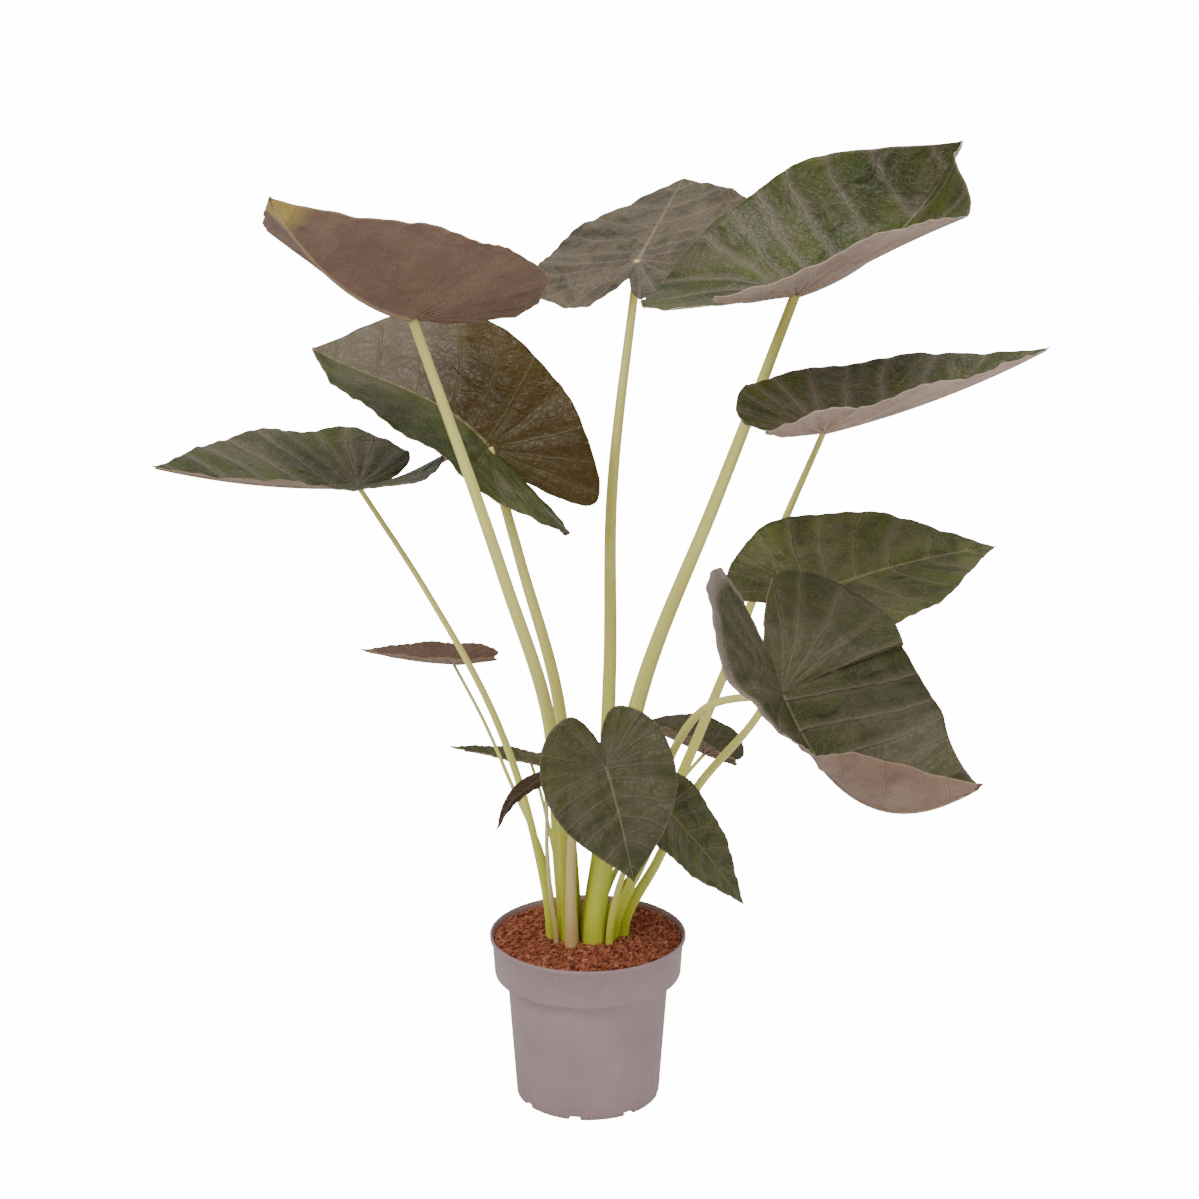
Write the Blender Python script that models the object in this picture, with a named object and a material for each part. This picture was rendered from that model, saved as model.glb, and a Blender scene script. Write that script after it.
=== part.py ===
"""Potted giant taro: arrow-shaped blades on long stalks, in a round plastic nursery pot.

Metres, +Z up, origin at the centre of the pot's flat bottom; the plant faces -Y.
"""
import math

import bmesh
import bpy
import numpy as np
from mathutils import Matrix

MM = 0.001

# Nursery pot of the common 19 cm size
POT_HEIGHT = 165 * MM
RIM_RADIUS = 95 * MM
COLLAR_RADIUS = 90.6 * MM
COLLAR_TOP_RADIUS = 92.7 * MM
COLLAR_BOTTOM = 125 * MM
BODY_RADIUS = 79.4 * MM
BASE_RADIUS = 70 * MM
WALL = 1.8 * MM
BASE_THICKNESS = 3 * MM
POT_SIDES = 48
DRAINS = 8
DRAIN_TURN = 0.21
DRAIN_CUT = (16 * MM, 11 * MM, 7.4 * MM)

# Growing medium, and the buried stem that every stalk grows from
SOIL_TOP = 161 * MM
STEM_TOP = 128 * MM
STEM_CENTRE = (-0.5 * MM, -3 * MM)
STEM_SIZE = (44 * MM, 32 * MM)
CLEARANCE = 0.3 * MM

BLADE_THICKNESS = 0.8 * MM


def vec(x, y, z):
    return np.array((x, y, z), dtype=float)


def unit(v):
    return v / np.linalg.norm(v, axis=-1, keepdims=True)


def smooth(a, b, x):
    t = np.clip((x - a) / (b - a), 0.0, 1.0)
    return t * t * (3.0 - 2.0 * t)


def spline(knots, values, x):
    """Cubic through the knots, with slopes taken from the neighbours."""
    knots = np.asarray(knots, dtype=float)
    values = np.asarray(values, dtype=float)
    slopes = np.gradient(values, knots)
    i = np.clip(np.searchsorted(knots, x, side="right") - 1, 0, len(knots) - 2)
    h = knots[i + 1] - knots[i]
    t = (x - knots[i]) / h
    return ((2 * t**3 - 3 * t**2 + 1) * values[i] + (t**3 - 2 * t**2 + t) * h * slopes[i]
            + (3 * t**2 - 2 * t**3) * values[i + 1] + (t**3 - t**2) * h * slopes[i + 1])


# Half outline of a blade, in blade lengths. The vein number g runs from the floor of the
# notch (-1) round the back lobe to the widest part (0) and on to the tip (1).
VEIN = (-1.00, -0.86, -0.72, -0.58, -0.42, -0.25, -0.08, 0.10, 0.28, 0.46, 0.63, 0.79, 0.91, 1.00)
ALONG = (-0.20, -0.36, -0.46, -0.46, -0.37, -0.22, -0.04, 0.15, 0.33, 0.51, 0.67, 0.82, 0.925, 1.00)
ASIDE = (0.00, 0.13, 0.29, 0.47, 0.72, 0.91, 0.99, 1.00, 0.93, 0.77, 0.55, 0.30, 0.11, 0.00)


class Blade:
    """One leaf blade: where it hangs, how far it reaches and how it is folded."""

    def __init__(self, joint, tip, width, roll=0.0, fold=(20.0, 20.0), back=None, nose=None,
                 arch=0.0, skew=0.0, hang=0.0, sway=0.0, veer=0.0, twist=0.0, lobe=1.0,
                 splay=(0.0, 0.0), full=0.0, wave=3.0, waves=4.0, phase=0.0, quilt=1.0):
        self.joint = np.array(joint, dtype=float) * MM
        self.tip = np.array(tip, dtype=float) * MM
        self.width = width * MM
        self.roll = roll
        self.fold = fold
        self.back = fold if back is None else back
        self.nose = fold if nose is None else nose
        self.arch = arch
        self.sway = sway
        self.veer = veer
        self.twist = twist
        self.lobe = lobe
        self.skew = skew
        self.hang = math.tan(math.radians(hang))
        self.splay = splay
        self.full = full
        self.wave = wave * MM
        self.waves = waves
        self.phase = phase
        self.quilt = quilt * MM
        run = self.tip - self.joint
        self.length = float(np.linalg.norm(run))
        self.axis = run / self.length
        up = vec(0, 0, 1)
        self.normal = unit(up - up.dot(self.axis) * self.axis)
        self.left = np.cross(self.normal, self.axis)

    def rib(self, t):
        """Points of the middle rib, t in blade lengths ahead of the joint."""
        t = np.asarray(t, dtype=float)
        ahead, behind = np.maximum(t, 0.0), np.minimum(t, 0.0)
        bow = 4.0 * ahead * (1.0 - ahead)
        slope = 4.0 * self.arch * (1.0 + self.skew)
        rise = (self.arch * bow * (1.0 + self.skew * (1.0 - 2.0 * ahead)) + self.hang * behind
                + (slope - self.hang) * 0.1 * (np.exp(behind / 0.1) - 1.0))
        side = self.sway * bow + self.veer * behind * behind / (0.05 - behind)
        return (self.joint + self.length * (t[..., None] * self.axis + rise[..., None] * self.normal
                                            + side[..., None] * self.left))

    def frame(self, t):
        """Directions left and up from the rib at t."""
        step = 1e-4
        ahead = unit(self.rib(t + step) - self.rib(t - step))
        roll = np.radians(self.roll + self.twist * np.clip(t, -0.3, 1.0))[..., None]
        up = np.cos(roll) * self.normal - np.sin(roll) * self.left
        up = unit(up - (up * ahead).sum(-1, keepdims=True) * ahead)
        return np.cross(up, ahead), up

    def point(self, side, g, u, offset=0.0):
        """Point on side +1 (left) or -1 (right), at vein g, a share u of the way to the edge."""
        g = np.asarray(g, dtype=float)
        u = np.asarray(u, dtype=float)
        edge_x = spline(VEIN, ALONG, g)
        edge_x = np.where(edge_x < 0, edge_x * self.lobe, edge_x)
        edge_y = spline(VEIN, ASIDE, g) + self.full * np.maximum(edge_x, 0.0) ** 2 * (1.0 - edge_x)
        edge_y = edge_y * (1.0 + self.splay[0 if side > 0 else 1] * smooth(0.0, -0.4, edge_x))
        edge_y = np.maximum(edge_y, 0.0) * self.width / self.length
        root_x = np.maximum(g, 0.0) ** 1.55
        bow = 0.10 * np.maximum(g, 0.0) * (1.0 - g)
        x = root_x + (edge_x - root_x) * u - bow * 4 * u * (1 - u)
        y = edge_y * (u + 0.5 * bow * 4 * u * (1 - u))
        share = y * self.length / self.width
        rib = self.rib(x)
        left, up = self.frame(x)
        k = 0 if side > 0 else 1
        lean = (self.fold[k] + (self.back[k] - self.fold[k]) * smooth(0.05, -0.35, x)
                + (self.nose[k] - self.fold[k]) * smooth(0.45, 0.95, x))
        lean = np.radians(lean)
        out = y * self.length * np.cos(lean)
        high = y * self.length * np.sin(lean)
        ripple = self.wave * share * u * np.sin(math.tau * (self.waves * 0.5 * (g + 1.0) + self.phase)
                                                 + 1.3 * side)
        body = np.sin(math.pi * np.clip(share, 0, 1)) * smooth(1.0, 0.8, g)
        ripple = ripple * smooth(1.0, 0.85, g) + self.quilt * body * np.cos(math.tau * 6.0 * g)
        lifted = ripple + offset
        across = side * (out - np.sin(lean) * lifted)
        high = high + np.cos(lean) * lifted
        return rib + across[..., None] * left + high[..., None] * up


BLADES = {
    "blade_top_left": Blade((-148, -120, 778), (-247, -258, 892), 118, roll=5, fold=(26, 29),
                            arch=-0.09, hang=-22, lobe=1.1, full=0.8),
    "blade_top_centre": Blade((49, 182, 792), (98, 340, 857), 113, roll=-24, fold=(12, -12),
                              back=(18, -8), hang=4, splay=(0.0, -0.2), full=0.7),
    "blade_top_right": Blade((192, 50, 776), (362, 188, 905), 128, roll=0, twist=26, fold=(24, 33),
                             back=(7, 12), nose=(30, 70), arch=-0.11, hang=-30, full=1.5),
    "blade_left_upper": Blade((-91, 15, 640), (-255, 45, 726), 107, roll=-18, fold=(16, 22),
                              back=(20, 30), arch=0.05, skew=1.0, hang=12, lobe=1.2,
                              splay=(-0.1, -0.2), full=1.5),
    "blade_left_long": Blade((-211, 0, 607), (-376, -120, 649), 100, roll=0, fold=(9, 22),
                             back=(28, 25), arch=-0.03, hang=-15, lobe=0.75),
    "blade_right_long": Blade((213, -35, 664), (428, 45, 727), 95, fold=(22, 25), back=(32, 25),
                              arch=-0.03, hang=-14, lobe=0.62),
    "blade_right_middle": Blade((200, -55, 517), (383, 30, 541), 87, roll=24, fold=(10, 10),
                                back=(-8, 10), arch=0.03, lobe=0.65),
    "blade_right_front": Blade((168, -185, 464), (322, -312, 426), 117, roll=0, twist=-20,
                               fold=(36, 28), back=(-15, 37), nose=(36, 33), arch=-0.30, hang=-45,
                               veer=0.25, lobe=0.8, splay=(0.5, 0.0), full=1.8),
    "blade_front_small": Blade((17, -120, 376), (42, -155, 279), 61, roll=33, fold=(12, 12), arch=0.02,
                               wave=2, quilt=0.6),
    "blade_front_low": Blade((72, -88, 324), (144, -96, 233), 50, roll=20, fold=(4, 4), arch=0.02,
                             lobe=0.6, splay=(-0.2, -0.2), wave=1.5, quilt=0.6),
    "blade_left_small": Blade((-129, 50, 421), (-218, 50, 435), 34, fold=(24, 20), arch=-0.03, hang=-15,
                              wave=1, quilt=0.3),
    "blade_left_low": Blade((-56, 62, 317), (-135, 62, 333), 20, fold=(15, 15), wave=1, quilt=0.2),
    "blade_curled": Blade((-39, -60, 337), (-83, -80, 300), 14, fold=(50, 50), arch=0.12, lobe=0.4,
                          wave=1, quilt=0.0),
    "blade_right_back": Blade((115, 80, 320), (48, 100, 345), 42, fold=(35, 35), wave=1.5, quilt=0.4),
}


class Stalk:
    """Leaf stalk from its sheath on the buried stem, through points, up to its blade."""

    def __init__(self, foot, through, radii, flat=1.0, seat=0.4):
        self.foot = foot
        self.through = through
        self.radii = radii
        self.flat = flat
        self.seat = seat * MM


STALKS = {
    "stalk_top_left": Stalk((-21, -9), ((-26, -22, 246), (-36, -52, 400), (-73, -84, 538)),
        (8, 7, 6.3, 4.2)),
    "stalk_top_centre": Stalk((2, 6), ((13, 18, 255), (21, 60, 410), (23, 106, 568)),
        (8, 7.5, 6.5, 4.0), seat=1.4),
    "stalk_top_right": Stalk((5, -14), ((17, -12, 250), (54, 6, 420), (118, 32, 580)),
        (11, 9.5, 7.5, 4.8), 0.66),
    "stalk_left_upper": Stalk((-14, 8), ((-17, 8, 240), (-30, 9, 410), (-62, 12, 530)),
        (7, 6.5, 5.8, 4.2), seat=0.6),
    "stalk_left_long": Stalk((-36, -6), ((-48, -9, 253), (-88, -8, 388), (-150, -4, 508)),
        (4.5, 4, 3.4, 2.4)),
    "stalk_right_long": Stalk((19, 9), ((48, 20, 220), (124, 28, 402), (180, 30, 555)),
        (6, 5.4, 4.6, 2.8)),
    "stalk_right_middle": Stalk((34, 0), ((66, -8, 240), (102, -20, 318), (160, -44, 403)),
        (5.6, 4.8, 4.2, 3.2)),
    "stalk_right_front": Stalk((24, -8), ((42, -20, 226), (69, -38, 336), (104, -92, 419)),
        (6, 5, 4.2, 3.4)),
    "stalk_front_small": Stalk((-16, -25), ((-16, -32, 215), (-14, -48, 285), (-4, -82, 345)),
        (6, 5.2, 4.0, 2.4)),
    "stalk_front_low": Stalk((21, -21), ((27, -32, 214), (40, -52, 262), (60, -76, 304)),
        (3.5, 3.2, 2.6, 2.0)),
    "stalk_left_small": Stalk((-33, 6), ((-44, 10, 240), (-72, 22, 305), (-100, 36, 368)),
        (3, 2.6, 2.0, 1.6)),
    "stalk_left_low": Stalk((-25, 16), ((-29, 24, 215), (-38, 38, 258), (-49, 54, 298)),
        (2.5, 2.2, 1.8, 1.5)),
    "stalk_curled": Stalk((-30, -19), ((-35, -31, 215), (-38, -41, 265), (-38, -52, 315)),
        (2.6, 2.3, 2.0, 1.5)),
    "stalk_right_back": Stalk((10, 21), ((22, 28, 205), (52, 44, 252), (92, 66, 298)),
        (3.5, 3.0, 2.4, 1.8)),
}
BLADE_OF = {
    "stalk_top_left": "blade_top_left", "stalk_top_centre": "blade_top_centre",
    "stalk_top_right": "blade_top_right", "stalk_left_upper": "blade_left_upper",
    "stalk_left_long": "blade_left_long", "stalk_right_long": "blade_right_long",
    "stalk_right_middle": "blade_right_middle", "stalk_right_front": "blade_right_front",
    "stalk_front_small": "blade_front_small", "stalk_front_low": "blade_front_low",
    "stalk_left_small": "blade_left_small", "stalk_left_low": "blade_left_low",
    "stalk_curled": "blade_curled", "stalk_right_back": "blade_right_back",
}


def stalk_path(name, count):
    """Centre line and radii of a stalk, from the buried stem to just under its blade."""
    stalk, blade = STALKS[name], BLADES[BLADE_OF[name]]
    upright = (STEM_TOP + CLEARANCE, SOIL_TOP - 12 * MM, SOIL_TOP + 3 * MM)
    points = [vec(stalk.foot[0] * MM, stalk.foot[1] * MM, z) for z in upright]
    points += [vec(*p) * MM for p in stalk.through]
    points.append(blade.joint)
    points = np.array(points)
    run = np.concatenate(([0.0], np.cumsum(np.linalg.norm(np.diff(points, axis=0), axis=1))))
    run /= run[-1]
    knots = (0.0, run[2], run[3], run[4], 1.0)
    sizes = (stalk.radii[0], stalk.radii[0], stalk.radii[1], stalk.radii[2], stalk.radii[3])

    def at(t):
        return np.stack([spline(run, points[:, k], t) for k in range(3)], -1)

    heading = unit(at(np.array([1.0])) - at(np.array([0.985])))[0]
    _, up = blade.frame(np.array([0.0]))
    up = up[0]
    slant = max(abs(float(heading.dot(up))), 0.35)
    back_off = (0.5 * BLADE_THICKNESS + stalk.seat) / slant
    last = 1.0 - back_off / np.linalg.norm(np.diff(points, axis=0), axis=1).sum()
    t = np.array([0.0] + list(np.linspace(run[2], last, count)))
    return at(t), spline(knots, np.array(sizes) * MM, t)


# Building

for old in list(bpy.data.objects):
    bpy.data.objects.remove(old, do_unlink=True)


def material(name, colour, roughness):
    m = bpy.data.materials.new(name)
    m.use_nodes = True
    shader = m.node_tree.nodes["Principled BSDF"]
    shader.inputs["Base Color"].default_value = (*colour, 1.0)
    shader.inputs["Roughness"].default_value = roughness
    return m


LEAF = material("leaf_green", (0.075, 0.085, 0.035), 0.5)
LEAF_OLD = material("leaf_brown", (0.12, 0.06, 0.045), 0.6)
STALK = material("stalk_lime", (0.46, 0.45, 0.14), 0.5)
STALK_PALE = material("stalk_cream", (0.60, 0.48, 0.30), 0.5)
PLASTIC = material("pot_plastic", (0.32, 0.25, 0.24), 0.5)
COIR = material("coir", (0.14, 0.045, 0.025), 0.95)
CORM = material("buried_stem", (0.20, 0.12, 0.06), 0.8)


def add_object(name, bm, mat):
    bm.normal_update()
    bmesh.ops.recalc_face_normals(bm, faces=bm.faces[:])
    if bm.calc_volume(signed=True) < 0:
        bmesh.ops.reverse_faces(bm, faces=bm.faces[:])
    mesh = bpy.data.meshes.new(name)
    bm.to_mesh(mesh)
    bm.free()
    mesh.materials.append(mat)
    obj = bpy.data.objects.new(name, mesh)
    bpy.context.scene.collection.objects.link(obj)
    return obj


def loft(rings):
    """Skin through rings of equal length; the end rings are capped."""
    bm = bmesh.new()
    rows = [[bm.verts.new(p) for p in ring] for ring in rings]
    n = len(rows[0])
    for a, b in zip(rows, rows[1:]):
        for i in range(n):
            bm.faces.new((a[i], a[(i + 1) % n], b[(i + 1) % n], b[i]))
    for row, flip in ((rows[0], True), (rows[-1], False)):
        centre = bm.verts.new(sum((v.co for v in row), row[0].co * 0) / n)
        for i in range(n):
            a, b = row[i], row[(i + 1) % n]
            bm.faces.new((centre, b, a) if flip else (centre, a, b))
    return bm


def turned(profile, sides, squash=(1.0, 1.0), centre=(0.0, 0.0)):
    """Closed body of revolution about an upright line; profile points run from axis to axis."""
    bm = bmesh.new()
    rows = []
    for r, z in profile:
        if r <= 1e-9:
            rows.append([bm.verts.new((centre[0], centre[1], z))])
            continue
        rows.append([bm.verts.new((centre[0] + r * squash[0] * math.cos(math.tau * i / sides),
                                   centre[1] + r * squash[1] * math.sin(math.tau * i / sides), z))
                     for i in range(sides)])
    for a, b in zip(rows, rows[1:]):
        for i in range(sides):
            j = (i + 1) % sides
            if len(a) == 1:
                bm.faces.new((a[0], b[i], b[j]))
            elif len(b) == 1:
                bm.faces.new((a[i], b[0], a[j]))
            else:
                bm.faces.new((a[i], b[i], b[j], a[j]))
    return bm


def cut(obj, cutter):
    cutter.hide_render = True
    cutter.display_type = "WIRE"
    mod = obj.modifiers.new("cut_" + cutter.name, "BOOLEAN")
    mod.operation = "DIFFERENCE"
    mod.solver = "EXACT"
    mod.object = cutter


def build_blade(blade, rows, columns):
    """Blade split into triangles, the same on both faces, with an even thickness."""
    bm = bmesh.new()
    g = np.linspace(-1.0, 1.0, rows + 1)
    u = np.linspace(0.0, 1.0, columns + 1)
    gg, uu = np.meshgrid(g, u, indexing="ij")
    for side in (1, -1):
        grid = blade.point(side, gg, uu)
        verts = [[bm.verts.new(p) for p in row] for row in grid]
        for i in range(rows):
            for j in range(columns):
                quad = (verts[i][j], verts[i][j + 1], verts[i + 1][j + 1], verts[i + 1][j])
                bm.faces.new(quad if side < 0 else quad[::-1])
    bmesh.ops.remove_doubles(bm, verts=bm.verts[:], dist=0.05 * MM)
    bmesh.ops.triangulate(bm, faces=bm.faces[:])
    bm.normal_update()
    half = 0.5 * BLADE_THICKNESS
    thick = bmesh.new()
    upper = [thick.verts.new(v.co + v.normal * half) for v in bm.verts]
    lower = [thick.verts.new(v.co - v.normal * half) for v in bm.verts]
    bm.verts.index_update()
    for f in bm.faces:
        k = [v.index for v in f.verts]
        thick.faces.new([upper[i] for i in k])
        thick.faces.new([lower[i] for i in reversed(k)])
    for e in bm.edges:
        if e.is_boundary:
            loop = e.link_loops[0]
            a, b = loop.vert.index, loop.link_loop_next.vert.index
            thick.faces.new((upper[b], upper[a], lower[a], lower[b]))
    bm.free()
    bmesh.ops.triangulate(thick, faces=thick.faces[:])
    return thick


def build_stalk(name, count, sides):
    centres, radii = stalk_path(name, count)
    flat = STALKS[name].flat
    tangents = np.gradient(centres, axis=0)
    tangents[:2] = (0, 0, 1)
    tangents = unit(tangents)
    rings = []
    for n, (c, r, t) in enumerate(zip(centres, radii, tangents)):
        across = unit(np.cross(t, vec(0, 1, 0)) * -1.0)
        ahead = np.cross(t, across)
        squash = flat + (1.0 - flat) * smooth(0.0, 0.45, n / (len(radii) - 1))
        rings.append([c + r * (across * math.cos(a) + squash * ahead * math.sin(a))
                      for a in (math.tau * i / sides for i in range(sides))])
    blade = BLADES[BLADE_OF[name]]
    _, up = blade.frame(np.array([0.0]))
    up = up[0] if up[0].dot(tangents[-1]) > 0 else -up[0]
    slant = max(float(up.dot(tangents[-1])), 0.35)
    rings[-1] = [q - tangents[-1] * (up.dot(q - centres[-1]) / slant) for q in rings[-1]]
    return loft(rings)


def drain_cutter(number):
    """Block through the corner between the pot's wall and bottom."""
    place = (Matrix.Rotation(math.tau * (number + 0.5) / DRAINS + DRAIN_TURN, 4, "Z")
             @ Matrix.Translation((BASE_RADIUS - BASE_THICKNESS, 0.0, 0.0))
             @ Matrix.Diagonal((*DRAIN_CUT, 1.0)))
    bm = bmesh.new()
    bmesh.ops.create_cube(bm, size=1.0, matrix=place)
    return add_object("drain_%d" % number, bm, PLASTIC)


def make_pot():
    """Tapered body, stepped collar and lip: up the outside, over the lip and down the inside."""
    outside = [(0, 0), (BASE_RADIUS - 0.8 * MM, 0), (BASE_RADIUS, 0.8 * MM),
               (BASE_RADIUS + 0.4 * MM, 6 * MM),
               (BODY_RADIUS - 1.2 * MM, COLLAR_BOTTOM - 7 * MM), (BODY_RADIUS, COLLAR_BOTTOM - 3.5 * MM),
               (COLLAR_RADIUS - 3.1 * MM, COLLAR_BOTTOM - 0.8 * MM),
               (COLLAR_RADIUS - 0.6 * MM, COLLAR_BOTTOM + 0.6 * MM), (COLLAR_RADIUS, COLLAR_BOTTOM + 3 * MM),
               (COLLAR_TOP_RADIUS, POT_HEIGHT - 5 * MM), (RIM_RADIUS, POT_HEIGHT - 3.4 * MM),
               (RIM_RADIUS, POT_HEIGHT - 0.6 * MM), (RIM_RADIUS - 0.6 * MM, POT_HEIGHT)]
    inside = [(RIM_RADIUS - WALL, POT_HEIGHT), (COLLAR_TOP_RADIUS - WALL, POT_HEIGHT - 4.5 * MM),
              (COLLAR_RADIUS - WALL, COLLAR_BOTTOM + 4 * MM),
              (COLLAR_RADIUS - 3 * MM, COLLAR_BOTTOM + 2.6 * MM),
              (BODY_RADIUS - WALL, COLLAR_BOTTOM - WALL), (BODY_RADIUS - 3.2 * MM, COLLAR_BOTTOM - 6.5 * MM),
              (BASE_RADIUS - WALL + 0.3 * MM, 7 * MM), (BASE_RADIUS - WALL, BASE_THICKNESS + 0.4 * MM),
              (BASE_RADIUS - 2.4 * MM, BASE_THICKNESS),
              (0, BASE_THICKNESS)]
    pot = add_object("pot", turned(outside + inside, POT_SIDES), PLASTIC)
    for number in range(DRAINS):
        cut(pot, drain_cutter(number))


def uneven(x, y):
    """Height of the soil's lumps over a spot, in metres."""
    x, y = x / MM, y / MM
    return MM * (0.9 * math.sin(0.33 * x + 1.2 * math.sin(0.21 * y))
                 + 0.7 * math.sin(0.41 * y + 1.1 * math.sin(0.27 * x + 2.0)) - 0.4)


def make_soil():
    """Medium filled to just under the lip, clear of the pot all round, with an uneven top."""
    fill = [(0, BASE_THICKNESS + 0.4 * MM), (BASE_RADIUS - 3 * MM, BASE_THICKNESS + 0.4 * MM),
            (BASE_RADIUS - 2.3 * MM, BASE_THICKNESS + MM), (BODY_RADIUS - 3.7 * MM, COLLAR_BOTTOM - 6.3 * MM),
            (BODY_RADIUS - 2.2 * MM, COLLAR_BOTTOM - 1.3 * MM),
            (COLLAR_RADIUS - 3.4 * MM, COLLAR_BOTTOM + 3.1 * MM),
            (COLLAR_RADIUS - 2.4 * MM, COLLAR_BOTTOM + 4.3 * MM),
            (COLLAR_TOP_RADIUS - 2.7 * MM, SOIL_TOP - 3.5 * MM)]
    edge = COLLAR_TOP_RADIUS - 2.5 * MM
    fill += [(edge, SOIL_TOP)] + [(r * MM, SOIL_TOP) for r in (80, 69, 58, 47)] + [(0, SOIL_TOP)]
    bm = turned(fill, POT_SIDES)
    for v in bm.verts:
        if v.co.z > SOIL_TOP - 1e-6 and 46 * MM < math.hypot(v.co.x, v.co.y) < edge - 2 * MM:
            v.co.z += uneven(v.co.x, v.co.y)
    return add_object("soil", bm, COIR)


def make_buried_stem(soil):
    """Short ringed stem lying in the medium, in a room of its own shape."""
    shares = ((0, 80), (0.34, 80.6), (0.52, 84), (0.60, 90), (0.56, 92), (0.70, 100), (0.66, 102),
              (0.84, 111), (0.80, 113), (0.97, 123), (0.98, 126.5), (0.95, 128), (0, 128))
    squash = (1.0, STEM_SIZE[1] / STEM_SIZE[0])
    body = [(r * STEM_SIZE[0], z * MM) for r, z in shares]
    add_object("buried_stem", turned(body, 28, squash, STEM_CENTRE), CORM)
    room = [(0.0, 79.5 * MM)]
    room += [(r * STEM_SIZE[0] + MM, z * MM - (0.5 * MM if z < 100 else 0)) for r, z in shares[1:-2]]
    room += [(0.98 * STEM_SIZE[0] + MM, STEM_TOP + 0.5 * MM), (0.0, STEM_TOP + 0.5 * MM)]
    cut(soil, add_object("room_stem", turned(room, 28, squash, STEM_CENTRE), COIR))


def make_stalk(name, stalk, soil):
    """Leaf stalk, standing in a plain hole in the medium."""
    big = stalk.radii[0] >= 4
    mat = STALK_PALE if name in ("stalk_front_small", "stalk_curled") else STALK
    add_object(name, build_stalk(name, 13 if big else 10, 10 if big else 8), mat)
    r = stalk.radii[0] + (1.0 if big else 0.8)
    floor, top = STEM_TOP - MM, SOIL_TOP + 5 * MM
    hole = [(0.0, floor), (r * MM, floor), (r * MM, top), (0.0, top)]
    ratio = (stalk.radii[0] * stalk.flat + 0.8) / r
    spot = (stalk.foot[0] * MM, stalk.foot[1] * MM)
    cut(soil, add_object("room_" + name, turned(hole, 16 if big else 12, (1.0, ratio), spot), COIR))


make_pot()
soil = make_soil()
make_buried_stem(soil)
for name, stalk in STALKS.items():
    make_stalk(name, stalk, soil)
for name, blade in BLADES.items():
    small = blade.width < 60 * MM
    bm = build_blade(blade, 12 if small else 16, 3 if small else 4)
    add_object(name, bm, LEAF_OLD if name == "blade_curled" else LEAF)
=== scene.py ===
"""Looks of the potted giant taro: waxy veined blades, sheathed stalks, coir and a moulded pot."""

import math
import random

import bmesh
import bpy
import numpy as np
from mathutils import Matrix, Vector, noise


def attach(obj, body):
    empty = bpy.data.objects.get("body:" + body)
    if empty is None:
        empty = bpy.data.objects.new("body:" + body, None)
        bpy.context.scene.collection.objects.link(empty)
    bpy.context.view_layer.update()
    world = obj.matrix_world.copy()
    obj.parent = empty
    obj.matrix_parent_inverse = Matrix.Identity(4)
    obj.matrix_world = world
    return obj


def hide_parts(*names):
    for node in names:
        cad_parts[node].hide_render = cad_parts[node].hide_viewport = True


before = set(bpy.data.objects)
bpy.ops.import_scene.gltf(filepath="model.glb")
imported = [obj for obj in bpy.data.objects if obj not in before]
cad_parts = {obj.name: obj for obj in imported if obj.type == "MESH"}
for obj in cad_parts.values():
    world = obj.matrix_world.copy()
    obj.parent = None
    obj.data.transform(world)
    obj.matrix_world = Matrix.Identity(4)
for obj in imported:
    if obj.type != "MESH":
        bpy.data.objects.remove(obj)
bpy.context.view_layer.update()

MM = 0.001

# Camera
CAMERA_PLACE = (0.0113, -2.097, 1.06)
CAMERA_TILT = 75
CAMERA_LENS = 70

# Light: the camera sees the paper and the room brighter than they light the plant, so that they read as white
PAPER_GLOW = 14.0
ROOM_LIGHT = 0.55
ROOM_GLOW = 13.5

# Blades: widths, grid cells across and along, side veins, and the relief of veins and rib in millimetres
BLADE_THICKNESS = 0.8 * MM
USUAL_WIDTH = 118 * MM
SMALL_WIDTH = 60 * MM
BLADE_GRID = (52, 132)
SMALL_BLADE_GRID = (28, 60)
VEINS = 12
VEIN_WIDTH = 2.6
VEIN_SINK = 0.95
VEIN_SWELL = 0.55
RIB_WIDTH = 3.4
RIB_DEPTH = 3.2
RIB_SINK = 0.5
MOST_THICK = 1.4 + RIB_DEPTH
FRILL = 0.5

# Stalks: grid cells round and along, the radius in millimetres under which the coarser grid does, and how
# far under its blade the skin ends
STALK_GRID = (36, 150)
THIN_STALK_GRID = (16, 80)
THIN_STALK_RADIUS = 4
STALK_GAP = 0.9 * MM
PALE_STALKS = ("front_small", "curled")

# Sheath at a stalk's foot: its margins' turn from the middle of the groove, both widths in radians, their
# height and depth in radii, and the shares of the stalk between which it fades out
MARGIN_TURN = 0.75
MARGIN_WIDTH = 0.16
MARGIN_RISE = 0.26
GROOVE_WIDTH = 0.6
GROOVE_SINK = 0.22
SHEATH_END = (0.46, 0.12)

# Soil: its levels, the crumbs' radii in millimetres, and how many lengths make up a fibre
SOIL_TOP = 161 * MM
SOIL_RADIUS = 89.5 * MM
STEM_TOP = 128 * MM
CRUMBS = 4200
CRUMB_LOT = 50
CRUMB_RADII = (0.8, 1.0, 1.2, 1.5, 1.9, 2.5)
FIBRES = 420
FIBRE_LENGTHS = 5


# Camera, floor and light

camera = bpy.data.objects.new("camera", bpy.data.cameras.new("camera"))
bpy.context.scene.collection.objects.link(camera)
camera.location = CAMERA_PLACE
camera.rotation_euler = (math.radians(CAMERA_TILT), 0, 0)
camera.data.lens = CAMERA_LENS
camera.data.sensor_width = 36
camera.data.clip_end = 50
bpy.context.scene.camera = camera


def srgb(code):
    """Linear colour of an sRGB hex code."""
    parts = [int(code[i:i + 2], 16) / 255 for i in (1, 3, 5)]
    return tuple(c / 12.92 if c <= 0.04045 else ((c + 0.055) / 1.055) ** 2.4 for c in parts) + (1.0,)


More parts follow.
